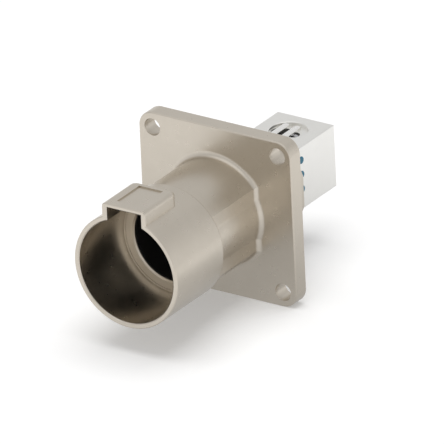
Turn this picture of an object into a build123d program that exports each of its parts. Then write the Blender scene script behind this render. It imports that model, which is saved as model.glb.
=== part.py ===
from build123d import *
from math import hypot, sqrt
import os

# Bulkhead busbar power connector, in millimetres.
# The origin is the centre of the flange's rear face, +Z points up to the key, and +Y runs
# along the connector's axis from the mating tube to the terminal block.

# Flange
flange_side = 65.0
flange_thickness = 6.5
flange_corner_r = 6.0
flange_edge_r = 0.5
flange_hole_inset = 5.75
flange_hole_r = 3.35

# Mating tube
tube_projection = 60.0
tube_length = 30.6
tube_bore_r = 20.1
tube_wall = 1.95
tube_bore_depth = 29.6
rim_bevel = 0.35
tube_rear_edge_r = 0.65
step_ring_bore_r = 16.1
step_ring_bevel = 0.6
step_groove_width = 0.4
step_groove_depth = 0.35
step_groove_ledge = 0.4

# Hollow key on top of the tube
key_width = 18.7
key_height = 3.45
key_length = 21.0
key_side_wall = 2.05
key_top_wall = 1.6
key_rear_wall = 2.5
key_top_r = 1.5
key_rear_r = 2.6
key_recess_width = 10.2
key_recess_length = 14.6
key_recess_setback = 3.8
key_recess_depth = 0.5

# Neck between tube and flange
neck_major_r = 20.7
neck_minor_r = 18.35
neck_flat_width = 33.4
neck_foot_r = 2.1
neck_root_r = 0.6

# Rear barrel, which passes through the panel
barrel_r = 19.5
barrel_flat_width = 37.2
barrel_length = 21.9
barrel_bevel = 0.5
barrel_bore_r = 16.8

# Web inside the shell, which carries the insulators
web_front = 6.0
web_rear = 2.0
web_hole_r = 11.5

# Insulators
bore_clearance = 0.15
sleeve_setback = 1.0
sleeve_wall = 1.7
sleeve_mouth_land = 0.2
sleeve_taper_length = 8.0
insulator_floor = 5.0
cup_floor = 6.0
cup_wall = 2.2
cup_projection = 1.5

# Seals
seal_section = 1.8
seal_groove_play = 0.4
seal_skin = 0.02
panel_seal_section = 2.4
panel_seal_r = 24.0

# Pin and stud
pin_r = 5.5
pin_length = 22.0
pin_edge_r = 0.8
collar_r = 9.5
collar_thickness = 3.0
stud_r = 6.0
stud_clearance = 0.05
stud_in_block = 7.0
stud_end_play = 0.3
guard_stem_r = 2.2
guard_stem_length = 5.0
guard_head_length = 2.6
guard_edge_r = 1.4
guard_clearance = 0.05

# Washers and nut on the stud
washer_clearance = 0.3
plain_washer_r = 12.0
plain_washer_thickness = 2.0
spring_washer_r = 10.4
spring_washer_thickness = 2.4
spring_washer_gap = 1.6
nut_across_flats = 19.0
nut_thickness = 7.2
nut_bevel = 0.6

# Terminal block
block_side = 24.1
block_front_gap = 2.6
block_length = 27.5
block_shank_r = 9.0
block_edge = 0.2
window_r = 7.15
window_from_rear = 11.5
window_bevel = 0.3
ledge_drop = 1.35
pocket_left_x = -6.9
pocket_width = 6.8
pocket_floor = 2.5
spring_seat_right_x = 4.5
spring_seat_width = 4.5
spring_seat_depth = 4.0

# Busbar clip in the window
strip_thickness = 1.2
blade_gap = 2.2
clip_offset = -1.46
clip_play = 0.1
clip_bend_r = 1.6
ear_width = 2.6
ear_length = 10.8
ear_end_r = 1.2
ear_lip_r = 0.5

# Bow spring beside the clip
spring_thickness = 0.5
spring_width = 1.6
spring_rise = 0.9
spring_drop = 0.1
spring_play = 0.05

# Blue plugs in the block's side
plug_r = 1.4
plug_clearance = 0.05
plug_depth = 4.0
plug_proud = 0.35
plug_edge_r = 0.3
plug_pitch = 5.7
plug_row_height = 1.4
plug_from_front = 5.6

# Grub screw under the block
grub_r = 2.0
grub_clearance = 0.05
grub_setback = 0.5
grub_socket_flats = 2.0
grub_socket_depth = 2.0
grub_from_front = 3.4

# Places that follow from the sizes above
flange_hole_pitch = flange_side - 2 * flange_hole_inset
rim_y = -(flange_thickness + tube_projection)
floor_y = rim_y + tube_bore_depth
shoulder_y = rim_y + tube_length
tube_r = tube_bore_r + tube_wall
step_groove_r = tube_bore_r - step_groove_ledge - step_groove_width / 2
key_top_z = tube_r + key_height
web_front_y = -web_front
web_rear_y = -web_rear
sleeve_front_y = floor_y + sleeve_setback
sleeve_r = step_ring_bore_r - bore_clearance
sleeve_bore_r = sleeve_r - sleeve_wall
cup_r = barrel_bore_r - bore_clearance
cup_floor_y = web_rear_y + cup_floor
cup_rear_y = barrel_length + cup_projection
pin_seat_y = web_front_y - insulator_floor
pin_tip_y = pin_seat_y - pin_length
washer_y = cup_floor_y
spring_washer_y = washer_y + plain_washer_thickness
nut_y = spring_washer_y + spring_washer_thickness
shank_y = nut_y + nut_thickness
block_front_y = barrel_length + block_front_gap
block_rear_y = block_front_y + block_length
block_half = block_side / 2
stud_end_y = block_front_y + stud_in_block
window_y = block_rear_y - window_from_rear
ledge_z = block_half - ledge_drop
pocket_floor_z = -block_half + pocket_floor
spring_seat_z = ledge_z - spring_seat_depth
seal_groove_width = seal_section + seal_groove_play
front_seal_depth = seal_section - bore_clearance + 2 * seal_skin
rear_seal_depth = seal_section - bore_clearance + 2 * seal_skin
pin_seal_depth = seal_section - stud_clearance + 2 * seal_skin
front_seal_y = (pin_seat_y + web_front_y) / 2
rear_seal_y = (web_rear_y + cup_floor_y) / 2
pin_seal_y = (web_front_y + web_rear_y) / 2
clip_leg_width = pocket_width - 2 * clip_play
clip_outer_width = blade_gap + 2 * strip_thickness
clip_right_x = clip_offset + clip_outer_width / 2
plug_y = block_front_y + plug_from_front
grub_y = block_front_y + grub_from_front

os.makedirs("parts", exist_ok=True)

# Shell: one casting with flange, neck, tube, key, web and barrel
with BuildPart() as shell:
    with BuildSketch(Plane.XZ.offset(flange_thickness)):
        Circle(neck_major_r)
        Rectangle(neck_flat_width, 2 * neck_major_r, mode=Mode.INTERSECT)
        Circle(neck_minor_r)
    extrude(amount=-flange_thickness - shoulder_y)
    with BuildSketch(Plane.XZ):
        RectangleRounded(flange_side, flange_side, flange_corner_r)
    extrude(amount=flange_thickness)
    neck_foot = shell.edges().filter_by_position(
        Axis.Y, -flange_thickness - 0.01, -flange_thickness + 0.01
    )
    fillet(neck_foot.filter_by(lambda e: hypot(e.center().X, e.center().Z) < tube_r), neck_foot_r)
    flange_outline = shell.edges().filter_by(
        lambda e: max(abs(e.center().X), abs(e.center().Z)) > flange_hole_pitch / 2
        and e.bounding_box().size.Y < 0.01
    )
    fillet(flange_outline, flange_edge_r)
    with BuildSketch(Plane.XZ):
        with GridLocations(flange_hole_pitch, flange_hole_pitch, 2, 2):
            Circle(flange_hole_r)
    extrude(amount=flange_thickness, mode=Mode.SUBTRACT)

    # Tube with its key, then the hollows
    with BuildSketch(Plane.XZ.offset(-shoulder_y)):
        Circle(tube_r)
    extrude(amount=tube_length)
    shoulder = shell.edges().filter_by_position(Axis.Y, shoulder_y - 0.01, shoulder_y + 0.01)
    shoulder_mid_r = (neck_major_r + tube_r) / 2
    fillet(shoulder.filter_by(lambda e: hypot(e.center().X, e.center().Z) < shoulder_mid_r), neck_root_r)
    shoulder = shell.edges().filter_by_position(Axis.Y, shoulder_y - 0.01, shoulder_y + 0.01)
    tube_rear_edge = shoulder.filter_by(lambda e: hypot(e.center().X, e.center().Z) > tube_r - 0.01)
    fillet(tube_rear_edge, tube_rear_edge_r)
    with BuildSketch(Plane.XZ.offset(-rim_y - key_length)):
        with Locations((0, key_top_z / 2)):
            Rectangle(key_width, key_top_z)
    extrude(amount=key_length)
    key_edges = shell.edges().filter_by(
        lambda e: e.center().Z > tube_bore_r and e.center().Y < rim_y + key_length + 0.01
    )
    key_rear_corners = key_edges.filter_by(Axis.Z)
    fillet(key_rear_corners.filter_by(lambda e: e.center().Y > rim_y + 1), key_rear_r)
    key_top = shell.edges().filter_by_position(Axis.Z, key_top_z - 0.01, key_top_z + 0.01)
    fillet(key_top.filter_by(lambda e: e.center().Y > rim_y + 1), key_top_r)

    with BuildSketch(Plane.XZ.offset(-floor_y)):
        Circle(tube_bore_r)
    extrude(amount=tube_bore_depth, mode=Mode.SUBTRACT)
    with BuildSketch(Plane.XZ.offset(-rim_y - key_length + key_rear_wall)):
        with Locations((0, (key_top_z - key_top_wall) / 2)):
            Rectangle(key_width - 2 * key_side_wall, key_top_z - key_top_wall)
    extrude(amount=key_length - key_rear_wall, mode=Mode.SUBTRACT)
    with BuildSketch(Plane.XY):
        with BuildLine():
            Polyline(
                (0, floor_y),
                (step_ring_bore_r + step_ring_bevel, floor_y),
                (step_ring_bore_r, floor_y + step_ring_bevel),
                (step_ring_bore_r, web_front_y),
                (web_hole_r, web_front_y),
                (web_hole_r, web_rear_y),
                (0, web_rear_y),
                close=True,
            )
        make_face()
        with Locations((step_groove_r, floor_y + step_groove_depth / 2)):
            Rectangle(step_groove_width, step_groove_depth)
    revolve(axis=Axis.Y, mode=Mode.SUBTRACT)

    # Rear barrel
    with BuildSketch(Plane.XZ):
        Circle(barrel_r)
        Rectangle(barrel_flat_width, 2 * barrel_r, mode=Mode.INTERSECT)
    extrude(amount=-barrel_length)
    barrel_end = shell.faces().filter_by(Axis.Y).sort_by(Axis.Y)[-1]
    chamfer(barrel_end.edges(), barrel_bevel)
    with BuildSketch(Plane.XZ.offset(-web_rear_y)):
        Circle(barrel_bore_r)
    extrude(amount=web_rear_y - barrel_length, mode=Mode.SUBTRACT)

    # Groove of the panel seal, the bare recess on the key and the bevelled rim
    with BuildSketch(Plane.XZ):
        Circle(panel_seal_r + panel_seal_section / 2 + seal_groove_play / 2)
        Circle(panel_seal_r - panel_seal_section / 2 - seal_groove_play / 2, mode=Mode.SUBTRACT)
    extrude(amount=panel_seal_section + 2 * seal_skin, mode=Mode.SUBTRACT)
    with BuildSketch(Plane.XY.offset(key_top_z)):
        with Locations((0, rim_y + key_recess_setback + key_recess_length / 2)):
            Rectangle(key_recess_width, key_recess_length)
    extrude(amount=-key_recess_depth, mode=Mode.SUBTRACT)
    rim_face = shell.faces().filter_by(Axis.Y).sort_by(Axis.Y)[0]
    chamfer(rim_face.edges(), rim_bevel)
shell.part.label = "shell"
export_step(shell.part, "parts/shell.step")

# Front insulator: black moulded sleeve with a floor on the shell's web and a spigot through it
with BuildPart() as front_insulator:
    with BuildSketch(Plane.XY):
        with BuildLine():
            Polyline(
                (sleeve_r - sleeve_mouth_land, sleeve_front_y),
                (sleeve_r, sleeve_front_y),
                (sleeve_r, web_front_y),
                (web_hole_r - bore_clearance, web_front_y),
                (web_hole_r - bore_clearance, web_rear_y),
                (stud_r + stud_clearance, web_rear_y),
                (stud_r + stud_clearance, pin_seat_y),
                (sleeve_bore_r, pin_seat_y),
                (sleeve_bore_r, sleeve_front_y + sleeve_taper_length),
                close=True,
            )
        make_face()
        with Locations((sleeve_r - front_seal_depth / 2, front_seal_y)):
            Rectangle(front_seal_depth, seal_groove_width, mode=Mode.SUBTRACT)
    revolve(axis=Axis.Y)
front_insulator.part.label = "front_insulator"
export_step(front_insulator.part, "parts/front_insulator.step")

# Rear insulator: black moulded cup in the barrel, its rim standing past the barrel's end
with BuildPart() as rear_insulator:
    with BuildSketch(Plane.XY):
        with BuildLine():
            Polyline(
                (stud_r + stud_clearance, web_rear_y),
                (cup_r, web_rear_y),
                (cup_r, cup_rear_y),
                (cup_r - cup_wall, cup_rear_y),
                (cup_r - cup_wall, cup_floor_y),
                (stud_r + stud_clearance, cup_floor_y),
                close=True,
            )
        make_face()
        with Locations((cup_r - rear_seal_depth / 2, rear_seal_y)):
            Rectangle(rear_seal_depth, seal_groove_width, mode=Mode.SUBTRACT)
    revolve(axis=Axis.Y)
rear_insulator.part.label = "rear_insulator"
export_step(rear_insulator.part, "parts/rear_insulator.step")

# Contact pin: turned copper with a collar, a seal groove and a stud, a bore for the guard in its tip
with BuildPart() as contact_pin:
    with BuildSketch(Plane.XY):
        with BuildLine():
            Polyline(
                (0, pin_tip_y + guard_stem_length + guard_clearance),
                (guard_stem_r + guard_clearance, pin_tip_y + guard_stem_length + guard_clearance),
                (guard_stem_r + guard_clearance, pin_tip_y),
                (pin_r - pin_edge_r, pin_tip_y),
                (pin_r, pin_tip_y + pin_edge_r),
                (pin_r, pin_seat_y - collar_thickness),
                (collar_r, pin_seat_y - collar_thickness),
                (collar_r, pin_seat_y),
                (stud_r, pin_seat_y),
                (stud_r, stud_end_y - pin_edge_r),
                (stud_r - pin_edge_r, stud_end_y),
                (0, stud_end_y),
                close=True,
            )
        make_face()
        with Locations((stud_r - pin_seal_depth / 2, pin_seal_y)):
            Rectangle(pin_seal_depth, seal_groove_width, mode=Mode.SUBTRACT)
    revolve(axis=Axis.Y)
contact_pin.part.label = "contact_pin"
export_step(contact_pin.part, "parts/contact_pin.step")

# Touch guard: moulded cap whose stem snaps into the pin's tip
with BuildPart() as touch_guard:
    with BuildSketch(Plane.XZ.offset(-pin_tip_y)):
        Circle(pin_r - pin_edge_r)
    extrude(amount=guard_head_length)
    fillet(touch_guard.faces().sort_by(Axis.Y)[0].edges(), guard_edge_r)
    with BuildSketch(Plane.XZ.offset(-pin_tip_y)):
        Circle(guard_stem_r)
    extrude(amount=-guard_stem_length)
touch_guard.part.label = "touch_guard"
export_step(touch_guard.part, "parts/touch_guard.step")


# An O-ring lying in its groove, drawn as a round section turned about the connector's axis
def o_ring(name, ring_r, ring_y, section):
    with BuildPart() as ring:
        with BuildSketch(Plane.XY):
            with Locations((ring_r, ring_y)):
                Circle(section / 2)
        revolve(axis=Axis.Y)
    ring.part.label = name
    export_step(ring.part, f"parts/{name}.step")


o_ring("front_seal", step_ring_bore_r - seal_section / 2 - seal_skin, front_seal_y, seal_section)
o_ring("rear_seal", barrel_bore_r - seal_section / 2 - seal_skin, rear_seal_y, seal_section)
o_ring("pin_seal", stud_r + stud_clearance - seal_section / 2 - seal_skin, pin_seal_y, seal_section)
o_ring("panel_seal", panel_seal_r, -seal_skin - panel_seal_section / 2, panel_seal_section)

# Plain washer on the rear insulator's floor
with BuildPart() as plain_washer:
    with BuildSketch(Plane.XZ.offset(-washer_y)):
        Circle(plain_washer_r)
        Circle(stud_r + washer_clearance, mode=Mode.SUBTRACT)
    extrude(amount=-plain_washer_thickness)
plain_washer.part.label = "plain_washer"
export_step(plain_washer.part, "parts/plain_washer.step")

# Spring washer: a ring with one cut, shown pressed flat
with BuildPart() as spring_washer:
    with BuildSketch(Plane.XZ.offset(-spring_washer_y)):
        Circle(spring_washer_r)
        Circle(stud_r + washer_clearance, mode=Mode.SUBTRACT)
        with Locations((0, spring_washer_r)):
            Rectangle(spring_washer_gap, 2 * (spring_washer_r - stud_r / 2), mode=Mode.SUBTRACT)
    extrude(amount=-spring_washer_thickness)
spring_washer.part.label = "spring_washer"
export_step(spring_washer.part, "parts/spring_washer.step")

# Stud nut
with BuildPart() as stud_nut:
    with BuildSketch(Plane.XZ.offset(-nut_y)):
        RegularPolygon(nut_across_flats / 2, 6, major_radius=False)
        Circle(stud_r + stud_clearance, mode=Mode.SUBTRACT)
    extrude(amount=-nut_thickness)
    with BuildSketch(Plane.XY):
        with BuildLine():
            Polyline(
                (0, nut_y),
                (nut_across_flats / 2, nut_y),
                (nut_across_flats / 2 + 2 * nut_bevel, nut_y + nut_bevel),
                (nut_across_flats / 2 + 2 * nut_bevel, shank_y - nut_bevel),
                (nut_across_flats / 2, shank_y),
                (0, shank_y),
                close=True,
            )
        make_face()
    revolve(axis=Axis.Y, mode=Mode.INTERSECT)
stud_nut.part.label = "stud_nut"
export_step(stud_nut.part, "parts/stud_nut.step")

# Terminal block: machined copper, silver-plated, with a turned shank screwed on the stud
with BuildPart() as terminal_block:
    with BuildSketch(Plane.XZ.offset(-block_front_y)):
        Rectangle(block_side, block_side)
    extrude(amount=-block_length)
    chamfer(terminal_block.edges(), block_edge)
    with BuildSketch(Plane.XZ.offset(-shank_y)):
        Circle(block_shank_r)
    extrude(amount=shank_y - block_front_y)
    with BuildSketch(Plane.XZ.offset(-shank_y)):
        Circle(stud_r + stud_clearance)
    extrude(amount=shank_y - stud_end_y - stud_end_play, mode=Mode.SUBTRACT)
    with BuildSketch(Plane.XY.offset(block_half)):
        with Locations((0, window_y)):
            Circle(window_r)
    extrude(amount=-ledge_drop, mode=Mode.SUBTRACT)
    with BuildSketch(Plane.XY.offset(ledge_z)):
        with Locations((pocket_left_x + pocket_width / 2, window_y)):
            Circle(pocket_width / 2)
            pocket_straight = clip_right_x + clip_play - pocket_left_x - pocket_width / 2
            Rectangle(pocket_straight, pocket_width, align=(Align.MIN, Align.CENTER))
    extrude(amount=pocket_floor_z - ledge_z, mode=Mode.SUBTRACT)
    with BuildSketch(Plane.XY.offset(ledge_z)):
        with Locations((spring_seat_right_x - spring_seat_width / 2, window_y)):
            Circle(spring_seat_width / 2)
            seat_straight = spring_seat_right_x - spring_seat_width / 2 - clip_right_x
            Rectangle(seat_straight, spring_seat_width, align=(Align.MAX, Align.CENTER))
    extrude(amount=spring_seat_z - ledge_z, mode=Mode.SUBTRACT)
    window_rim = terminal_block.edges().filter_by(GeomType.CIRCLE).sort_by(Axis.Z)[-1]
    chamfer(window_rim, window_bevel)
    with BuildSketch(Plane.YZ.offset(block_half)):
        with Locations((plug_y, plug_row_height)):
            with GridLocations(0, plug_pitch, 1, 3):
                Circle(plug_r + plug_clearance)
    extrude(amount=-plug_depth, mode=Mode.SUBTRACT)
    with BuildSketch(Plane.XY.offset(-block_half)):
        with Locations((0, grub_y)):
            Circle(grub_r + grub_clearance)
    extrude(amount=block_half - stud_r, mode=Mode.SUBTRACT)
terminal_block.part.label = "terminal_block"
export_step(terminal_block.part, "parts/terminal_block.step")

# Busbar clip: one stamped strip folded to a U in the pocket, its eared ends lying on the ledge
with BuildPart() as busbar_clip:
    with BuildSketch(Plane.XZ.offset(-window_y - clip_leg_width / 2)):
        with Locations((clip_offset, (ledge_z + pocket_floor_z) / 2)):
            Rectangle(clip_outer_width, ledge_z - pocket_floor_z)
        with Locations((clip_offset, (ledge_z + pocket_floor_z) / 2 + strip_thickness)):
            Rectangle(blade_gap, ledge_z - pocket_floor_z, mode=Mode.SUBTRACT)
    extrude(amount=clip_leg_width)
    bend_edges = busbar_clip.edges().filter_by(Axis.Y).group_by(Axis.Z)[0]
    fillet(bend_edges, clip_bend_r)
    with BuildSketch(Plane.XY.offset(ledge_z)):
        with Locations((clip_offset, window_y)):
            with GridLocations(blade_gap + ear_width, 0, 2, 1):
                RectangleRounded(ear_width, ear_length, ear_end_r)
    extrude(amount=strip_thickness)
    lip_edges = busbar_clip.edges().filter_by(Axis.Y).group_by(Axis.Z)[-1]
    fillet(lip_edges.filter_by(lambda e: abs(e.center().X - clip_offset) < blade_gap), ear_lip_r)
busbar_clip.part.label = "busbar_clip"
export_step(busbar_clip.part, "parts/busbar_clip.step")

# Bow spring: an arched leaf in its seat beside the pocket, between the clip's right leg and the
# seat's round end
seat_end_reach = sqrt((spring_seat_width / 2) ** 2 - (spring_width / 2) ** 2)
spring_left_x = clip_right_x + spring_play
spring_right_x = spring_seat_right_x - spring_seat_width / 2 + seat_end_reach - spring_play
spring_mid_x = (spring_left_x + spring_right_x) / 2
spring_end_z = ledge_z - spring_drop - spring_thickness / 2 - spring_rise
with BuildPart() as clip_spring:
    with BuildSketch(Plane.XZ.offset(-window_y - spring_width / 2)):
        with BuildLine():
            ThreePointArc(
                (spring_left_x, spring_end_z),
                (spring_mid_x, spring_end_z + spring_rise),
                (spring_right_x, spring_end_z),
            )
        trace(line_width=spring_thickness)
        with Locations((spring_mid_x, ledge_z)):
            Rectangle(spring_right_x - spring_left_x, 2 * spring_seat_depth, mode=Mode.INTERSECT)
    extrude(amount=spring_width)
clip_spring.part.label = "clip_spring"
export_step(clip_spring.part, "parts/clip_spring.step")

# Three blue plugs in the block's right side
with BuildPart() as lock_plugs:
    with BuildSketch(Plane.YZ.offset(block_half - plug_depth)):
        with Locations((plug_y, plug_row_height)):
            with GridLocations(0, plug_pitch, 1, 3):
                Circle(plug_r)
    extrude(amount=plug_depth + plug_proud)
    fillet(lock_plugs.faces().group_by(Axis.X)[-1].edges(), plug_edge_r)
lock_plugs.part.label = "lock_plugs"
export_step(lock_plugs.part, "parts/lock_plugs.step")

# Grub screw with a hexagon socket, from below onto the stud
with BuildPart() as grub_screw:
    with BuildSketch(Plane.XY.offset(-stud_r - grub_clearance)):
        with Locations((0, grub_y)):
            Circle(grub_r)
    extrude(amount=stud_r + grub_clearance + grub_setback - block_half)
    with BuildSketch(Plane.XY.offset(grub_setback - block_half)):
        with Locations((0, grub_y)):
            RegularPolygon(grub_socket_flats / 2, 6, major_radius=False)
    extrude(amount=grub_socket_depth, mode=Mode.SUBTRACT)
grub_screw.part.label = "grub_screw"
export_step(grub_screw.part, "parts/grub_screw.step")
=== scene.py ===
from math import radians

import bmesh
import bpy
from mathutils import Euler, Matrix, Vector


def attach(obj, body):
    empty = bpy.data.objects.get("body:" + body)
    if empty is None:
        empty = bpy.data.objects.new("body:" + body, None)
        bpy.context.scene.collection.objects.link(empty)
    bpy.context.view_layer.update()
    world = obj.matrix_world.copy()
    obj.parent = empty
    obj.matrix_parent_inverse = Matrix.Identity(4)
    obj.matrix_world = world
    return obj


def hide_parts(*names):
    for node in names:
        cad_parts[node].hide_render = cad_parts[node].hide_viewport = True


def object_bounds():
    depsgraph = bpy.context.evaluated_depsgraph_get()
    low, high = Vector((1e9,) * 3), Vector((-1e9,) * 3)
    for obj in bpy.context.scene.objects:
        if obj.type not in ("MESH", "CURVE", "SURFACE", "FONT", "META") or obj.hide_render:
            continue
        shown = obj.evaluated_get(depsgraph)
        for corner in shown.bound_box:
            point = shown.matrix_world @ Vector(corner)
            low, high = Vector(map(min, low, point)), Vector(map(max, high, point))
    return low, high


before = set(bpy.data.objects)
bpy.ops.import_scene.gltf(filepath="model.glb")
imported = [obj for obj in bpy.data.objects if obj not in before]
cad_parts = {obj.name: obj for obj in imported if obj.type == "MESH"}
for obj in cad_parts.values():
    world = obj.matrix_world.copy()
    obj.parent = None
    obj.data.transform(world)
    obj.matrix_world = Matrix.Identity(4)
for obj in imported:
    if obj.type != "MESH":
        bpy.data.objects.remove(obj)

cad_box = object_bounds()
millimetre = 0.001


# Shell: the square flange, the neck, the mating tube with its hollow key and the rear barrel are
# one die casting in an aluminium alloy, satin nickel plated. All the other pieces sit in it, and
# four M6 screws through the corners of its flange hold it to the panel.
def linear(hex_colour):
    """The linear colour of an sRGB hex value."""
    channels = [int(hex_colour[i : i + 2], 16) / 255 for i in (1, 3, 5)]
    return [c / 12.92 if c < 0.0405 else ((c + 0.055) / 1.055) ** 2.4 for c in channels] + [1.0]


def add_node(owner, kind, settings=None, sockets=None):
    """One node of a material or world, its settings made and its sockets set or linked."""
    node = owner.node_tree.nodes.new(kind)
    for name, value in (settings or {}).items():
        setattr(node, name, value)
    for name, value in (sockets or {}).items():
        if isinstance(value, bpy.types.NodeSocket):
            owner.node_tree.links.new(value, node.inputs[name])
        else:
            node.inputs[name].default_value = value
    return node


def empty_material(name):
    material = bpy.data.materials.new(name)
    material.use_nodes = True
    material.node_tree.nodes.clear()
    return material


def finish_material(material, shader):
    add_node(material, "ShaderNodeOutputMaterial", {}, {"Surface": shader.outputs[0]})
    return material


def clouds(material, size_mm, detail):
    """A soft noise on the piece's own coordinates, its blobs about size_mm wide."""
    place = add_node(material, "ShaderNodeTexCoord").outputs["Object"]
    sockets = {"Vector": place, "Scale": 1 / (size_mm * millimetre), "Detail": detail}
    return add_node(material, "ShaderNodeTexNoise", {}, sockets).outputs["Fac"]


grain_detail = 2


def grain(material, size_mm, depth_mm):
    """The relief of a fine grain, size_mm wide and depth_mm deep."""
    height = clouds(material, size_mm, grain_detail)
    sockets = {"Height": height, "Strength": 1.0, "Distance": depth_mm * millimetre}
    return add_node(material, "ShaderNodeBump", {}, sockets).outputs["Normal"]


tone_cloud_mm = 9
tone_detail = 3
gloss_cloud_mm = 2.5
gloss_detail = 4
noise_low = 0.3
noise_high = 0.7


def plated_metal(name, light, dark, roughness, roughness_spread, grain_mm, grain_depth_mm):
    """Plate with faint clouds of tone and gloss over the fine grain of the metal under it."""
    material = empty_material(name)
    tone = clouds(material, tone_cloud_mm, tone_detail)
    tones = {"Factor": tone, "A": linear(dark), "B": linear(light)}
    colour = add_node(material, "ShaderNodeMix", {"data_type": "RGBA"}, tones)
    spread = {
        "Value": clouds(material, gloss_cloud_mm, gloss_detail),
        "From Min": noise_low,
        "From Max": noise_high,
        "To Min": roughness - roughness_spread,
        "To Max": roughness + roughness_spread,
    }
    gloss = add_node(material, "ShaderNodeMapRange", {}, spread)
    sockets = {
        "Base Color": colour.outputs["Result"],
        "Metallic": 1.0,
        "Roughness": gloss.outputs["Result"],
        "Normal": grain(material, grain_mm, grain_depth_mm),
    }
    return finish_material(material, add_node(material, "ShaderNodeBsdfPrincipled", {}, sockets))


merge_distance = 0.001 * millimetre
crease_angle = radians(30)


def smooth_copy(node_name, piece_name, material):
    """A node's own mesh, merged and shaded smooth between its real edges, in its place."""
    mesh = bpy.data.meshes.new(piece_name)
    shape = bmesh.new()
    shape.from_mesh(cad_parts[node_name].data)
    bmesh.ops.remove_doubles(shape, verts=shape.verts, dist=merge_distance)
    for face in shape.faces:
        face.smooth = True
        face.material_index = 0
    for edge in shape.edges:
        edge.smooth = edge.calc_face_angle(0) < crease_angle
    shape.to_mesh(mesh)
    shape.free()
    mesh.attributes.remove(mesh.attributes["custom_normal"])
    mesh.materials.clear()
    mesh.materials.append(material)
    piece = bpy.data.objects.new(piece_name, mesh)
    bpy.context.scene.collection.objects.link(piece)
    weights = piece.modifiers.new("flat_faces_stay_flat", "WEIGHTED_NORMAL")
    weights.mode = "FACE_AREA_WITH_ANGLE"
    weights.keep_sharp = True
    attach(piece, "root")
    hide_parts(node_name)
    return piece


# Satin nickel over a blasted casting: a warm grey metal with a soft, even sheen and no colour
# change, its grain too fine to show at the photograph's scale, so drawn at 0.35 mm.
satin_nickel = plated_metal(
    "satin_nickel_on_casting",
    light="#D4CCC0",
    dark="#CDC5B8",
    roughness=0.3,
    roughness_spread=0.03,
    grain_mm=0.35,
    grain_depth_mm=0.0015,
)
shell = smooth_copy("shell", "shell_casting", satin_nickel)


# Front insulator: a black moulded sleeve, open to the mating side, with a floor on the shell's
# web and a spigot through the web's hole. It keeps the pin from touching the shell.
def moulding(name, colour, roughness, grain_mm, grain_depth_mm):
    """A moulded plastic or rubber of one colour, with the fine grain of its tool."""
    material = empty_material(name)
    sockets = {
        "Base Color": linear(colour),
        "Roughness": roughness,
        "Normal": grain(material, grain_mm, grain_depth_mm),
    }
    return finish_material(material, add_node(material, "ShaderNodeBsdfPrincipled", {}, sockets))


# Glass-filled polyamide: deep black, with the dull sheen of a spark-eroded tool.
black_polyamide = moulding(
    "black_polyamide", colour="#0E0E0F", roughness=0.55, grain_mm=0.3, grain_depth_mm=0.004
)
front_insulator = smooth_copy("front_insulator", "front_insulator_sleeve", black_polyamide)


# Front seal: an O-ring of black rubber in the groove round the front insulator's floor, pressed
# against the shell's bore.

# Nitrile rubber, moulded: black and almost without gloss.
seal_rubber = moulding("seal_rubber", colour="#101010", roughness=0.7, grain_mm=0.2, grain_depth_mm=0.002)
front_seal = smooth_copy("front_seal", "front_seal_ring", seal_rubber)


# Contact pin: turned copper, silver-plated. Its collar bears on the front insulator's floor, and
# its stud runs back through both insulators into the terminal block.

# Matt silver plate: nearly white and neutral, with a soft broad sheen over the machined copper.
silver_plate = plated_metal(
    "silver_plate",
    light="#F7F6F3",
    dark="#F0EFEB",
    roughness=0.34,
    roughness_spread=0.03,
    grain_mm=0.3,
    grain_depth_mm=0.0015,
)
contact_pin = smooth_copy("contact_pin", "contact_pin_turned", silver_plate)


# Touch guard: a moulded cap whose stem snaps into the bore of the pin's tip, so that no finger
# reaches live metal.

# Polyamide from a smoother tool: black, with a little more gloss than the insulators.
guard_polyamide = moulding(
    "guard_polyamide", colour="#161617", roughness=0.45, grain_mm=0.3, grain_depth_mm=0.002
)
touch_guard = smooth_copy("touch_guard", "touch_guard_cap", guard_polyamide)


# Pin seal: an O-ring of black rubber in the groove of the stud, inside the front insulator's
# spigot, so that no water creeps along the pin.
pin_seal = smooth_copy("pin_seal", "pin_seal_ring", seal_rubber)


# Rear insulator: a black moulded cup in the shell's barrel, its rim standing past the barrel's
# end, in the same plastic as the front one.
rear_insulator = smooth_copy("rear_insulator", "rear_insulator_cup", black_polyamide)


# Rear seal: an O-ring of black rubber in the groove round the rear insulator, pressed against
# the barrel's bore.
rear_seal = smooth_copy("rear_seal", "rear_seal_ring", seal_rubber)


# Panel seal: an O-ring of black rubber in the groove of the flange's rear face, pressed flat
# between the flange and the panel.
panel_seal = smooth_copy("panel_seal", "panel_seal_ring", seal_rubber)


# Plain washer: stamped steel with bright zinc plate, on the floor of the rear insulator, where
# it spreads the nut's load over the plastic.

# Bright zinc plate: a cool light grey with a fairly sharp sheen.
zinc_plate = plated_metal(
    "bright_zinc_plate",
    light="#C8CACC",
    dark="#B9BCC0",
    roughness=0.3,
    roughness_spread=0.03,
    grain_mm=0.4,
    grain_depth_mm=0.002,
)
plain_washer = smooth_copy("plain_washer", "plain_washer_stamped", zinc_plate)


# Spring washer: a cut ring of spring steel with the same zinc plate as the plain washer, pressed
# flat under the nut.
spring_washer = smooth_copy("spring_washer", "spring_washer_cut", zinc_plate)


# Stud nut: a thick hexagon nut in nickel-plated brass. It clamps pin and insulators to the
# shell's web.

# Nickel on turned brass: the casting's warm grey, with more gloss.
nickel_brass = plated_metal(
    "nickel_on_brass",
    light="#CFC9BD",
    dark="#C5BEB1",
    roughness=0.25,
    roughness_spread=0.03,
    grain_mm=0.4,
    grain_depth_mm=0.002,
)
stud_nut = smooth_copy("stud_nut", "stud_nut_hexagon", nickel_brass)


# Terminal block: a square copper bar, machined all over and silver-plated matt, screwed on the
# stud. The stepped window in its top holds the busbar clip.
terminal_block = smooth_copy("terminal_block", "terminal_block_milled", silver_plate)


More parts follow.
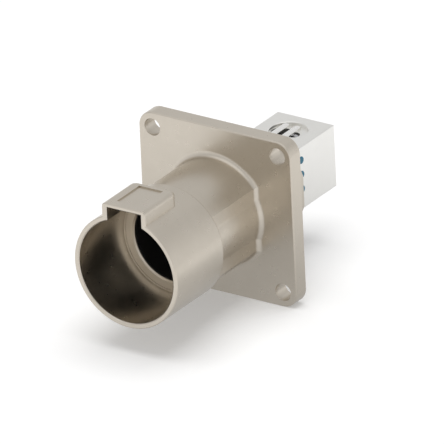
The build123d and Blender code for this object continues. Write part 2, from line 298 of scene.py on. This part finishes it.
# Grub screw: black steel with a hexagon socket, screwed from below through the block onto the
# stud, so that the block can't turn.

# Black oxide on steel: a thin dark skin that still shines like metal.
black_oxide = plated_metal(
    "black_oxide_on_steel",
    light="#3A3A3C",
    dark="#2E2E30",
    roughness=0.4,
    roughness_spread=0.03,
    grain_mm=0.4,
    grain_depth_mm=0.002,
)
grub_screw = smooth_copy("grub_screw", "grub_screw_socket", black_oxide)


# Busbar clip: one stamped copper strip, silver-plated, folded to a U that hangs in the window's
# pocket by its two eared ends.

# Silver plate on rolled strip: brighter and whiter than on the milled block.
burnished_silver = plated_metal(
    "burnished_silver_plate",
    light="#FEFDFB",
    dark="#F9F8F5",
    roughness=0.25,
    roughness_spread=0.03,
    grain_mm=0.3,
    grain_depth_mm=0.001,
)
busbar_clip = smooth_copy("busbar_clip", "busbar_clip_strip", burnished_silver)


# Clip spring: an arched leaf of bare rolled steel in its seat beside the pocket, between the
# clip's leg and the seat's end, which closes the clip on the blade.

# Rolled spring steel: a neutral light grey with a clear sheen.
spring_steel = plated_metal(
    "rolled_spring_steel",
    light="#C9C9CC",
    dark="#BDBDC0",
    roughness=0.25,
    roughness_spread=0.03,
    grain_mm=0.3,
    grain_depth_mm=0.002,
)
clip_spring = smooth_copy("clip_spring", "clip_spring_leaf", spring_steel)


# Lock plugs: three moulded plugs of blue plastic, one above the other in the right side of the
# block.

# Nylon, coloured right through: a dull petrol blue with a soft gloss.
blue_nylon = moulding("blue_nylon", colour="#26748F", roughness=0.4, grain_mm=0.3, grain_depth_mm=0.002)
lock_plugs = smooth_copy("lock_plugs", "lock_plugs_blue", blue_nylon)


# Floor: a plain sheet of white studio paper, as low as the flange's lower edge. In reflections
# the paper near the object is painted an even grey: painted shade over its lit parts, painted
# light over its shadow.
floor_side = 4.0
floor_z = cad_box[0][2]
floor_mesh = bpy.data.meshes.new("floor")
shape = bmesh.new()
bmesh.ops.create_grid(shape, x_segments=1, y_segments=1, size=floor_side / 2)
bmesh.ops.translate(shape, verts=shape.verts, vec=(0, 0, floor_z))
shape.to_mesh(floor_mesh)
shape.free()
floor = bpy.data.objects.new("floor", floor_mesh)
bpy.context.scene.collection.objects.link(floor)


def blend_values(owner, factor, first, second):
    sockets = {"Factor": factor, "A": first, "B": second}
    return add_node(owner, "ShaderNodeMix", {"data_type": "FLOAT"}, sockets).outputs["Result"]


# White paper: matt, and lifted to white for the camera. Metal mirrors it in full far from the
# object. Near the object, metal mirrors a painted even grey instead: the paper's shading is turned
# down and a fixed glow is added, which paints shade over the lit paper and light over its shadow.
paper_white = "#E8E8E8"
seen_tone = 1.06
seen_lift = 0.2
# The painted grey in reflections: centred on the paper under the object, full within the near distance and
# gone past the far one, with the paper's shading scaled down and a painted glow added.
painted_grey_centre = Vector((0, 10, -32)) * millimetre
painted_grey_near = 30 * millimetre
painted_grey_far = 150 * millimetre
painted_grey_tone = 0.2
painted_grey_glow = 0.46
paper = empty_material("white_studio_paper")
rays = add_node(paper, "ShaderNodeLightPath").outputs
place = add_node(paper, "ShaderNodeTexCoord").outputs["Object"]
away = add_node(paper, "ShaderNodeVectorMath", {"operation": "DISTANCE"}, {0: place, 1: painted_grey_centre})
fade = {"Value": away.outputs["Value"], "From Min": painted_grey_near, "From Max": painted_grey_far}
clear = add_node(paper, "ShaderNodeMapRange", {"interpolation_type": "SMOOTHSTEP"}, fade).outputs["Result"]
camera_lift = blend_values(paper, rays["Is Camera Ray"], 0.0, seen_lift)
reflected_glow_painted_near = blend_values(paper, clear, painted_grey_glow, seen_lift)
lift = blend_values(paper, rays["Is Glossy Ray"], camera_lift, reflected_glow_painted_near)
reflected_tone_painted_near = blend_values(paper, clear, painted_grey_tone, 1.0)
tone = blend_values(paper, rays["Is Glossy Ray"], seen_tone, reflected_tone_painted_near)
white = {0: linear(paper_white)[:3], "Scale": tone}
colour = add_node(paper, "ShaderNodeVectorMath", {"operation": "SCALE"}, white).outputs["Vector"]
matt = add_node(paper, "ShaderNodeBsdfDiffuse", {}, {"Color": colour})
glow = add_node(paper, "ShaderNodeEmission", {}, {"Strength": lift})
finish_material(paper, add_node(paper, "ShaderNodeAddShader", {}, {0: matt.outputs[0], 1: glow.outputs[0]}))
floor_mesh.materials.append(paper)


# Camera: the photograph's view from the front right and above, with parallel rays, because the
# photograph shows no perspective.
view_azimuth = 34.39
view_elevation = 24.94
view_roll = -2.6
view_span = 159.05 * millimetre
view_centre = Vector((2.17, -7.32, -4.09)) * millimetre
view_distance = 600 * millimetre
camera_data = bpy.data.cameras.new("camera")
camera_data.type = "ORTHO"
camera_data.ortho_scale = view_span
camera = bpy.data.objects.new("camera", camera_data)
bpy.context.scene.collection.objects.link(camera)
turn = Euler((radians(90 - view_elevation), 0, radians(view_azimuth))).to_matrix()
turn = turn @ Matrix.Rotation(radians(view_roll), 3, "Z")
camera.matrix_world = Matrix.Translation(view_centre + turn.col[2] * view_distance) @ turn.to_4x4()
bpy.context.scene.camera = camera


# Light: a soft grey-white studio all round, and one large soft box overhead for the shadow on
# the paper. What metal mirrors is brightest at the horizon and overhead, and grey between.
def grey(level):
    return (level, level, level, 1.0)


room_light = 0.5
horizon_level = 0.91
grey_band_height = 0.65
grey_band_level = 0.63
ceiling_height = 0.85
ceiling_level = 0.95
world = bpy.data.worlds.new("studio")
bpy.context.scene.world = world
world.use_nodes = True
world.node_tree.nodes.clear()
direction = add_node(world, "ShaderNodeTexCoord").outputs["Generated"]
height = add_node(world, "ShaderNodeSeparateXYZ", {}, {"Vector": direction}).outputs["Z"]
walls = add_node(world, "ShaderNodeValToRGB", {}, {"Fac": height})
walls.color_ramp.elements[0].color = grey(horizon_level)
walls.color_ramp.elements[1].color = grey(1.0)
walls.color_ramp.elements.new(grey_band_height).color = grey(grey_band_level)
walls.color_ramp.elements.new(ceiling_height).color = grey(ceiling_level)
world_rays = add_node(world, "ShaderNodeLightPath").outputs
either_ray = {0: world_rays["Is Camera Ray"], 1: world_rays["Is Glossy Ray"]}
seen = add_node(world, "ShaderNodeMath", {"operation": "MAXIMUM"}, either_ray).outputs[0]
skies = {"Factor": seen, "A": grey(room_light), "B": walls.outputs[0]}
sky = add_node(world, "ShaderNodeMix", {"data_type": "RGBA"}, skies)
air = add_node(world, "ShaderNodeBackground", {}, {"Color": sky.outputs["Result"]})
add_node(world, "ShaderNodeOutputWorld", {}, {"Surface": air.outputs[0]})

soft_box_side = 0.9
soft_box_watts = 7.0
soft_box_place = (0.0, -0.035, 1.0)
soft_box = bpy.data.lights.new("overhead_soft_box", "AREA")
soft_box.shape = "SQUARE"
soft_box.size = soft_box_side
soft_box.energy = soft_box_watts
overhead = bpy.data.objects.new("overhead_soft_box", soft_box)
overhead.location = soft_box_place
overhead.visible_glossy = False
bpy.context.scene.collection.objects.link(overhead)

bpy.context.scene.view_settings.view_transform = "Standard"
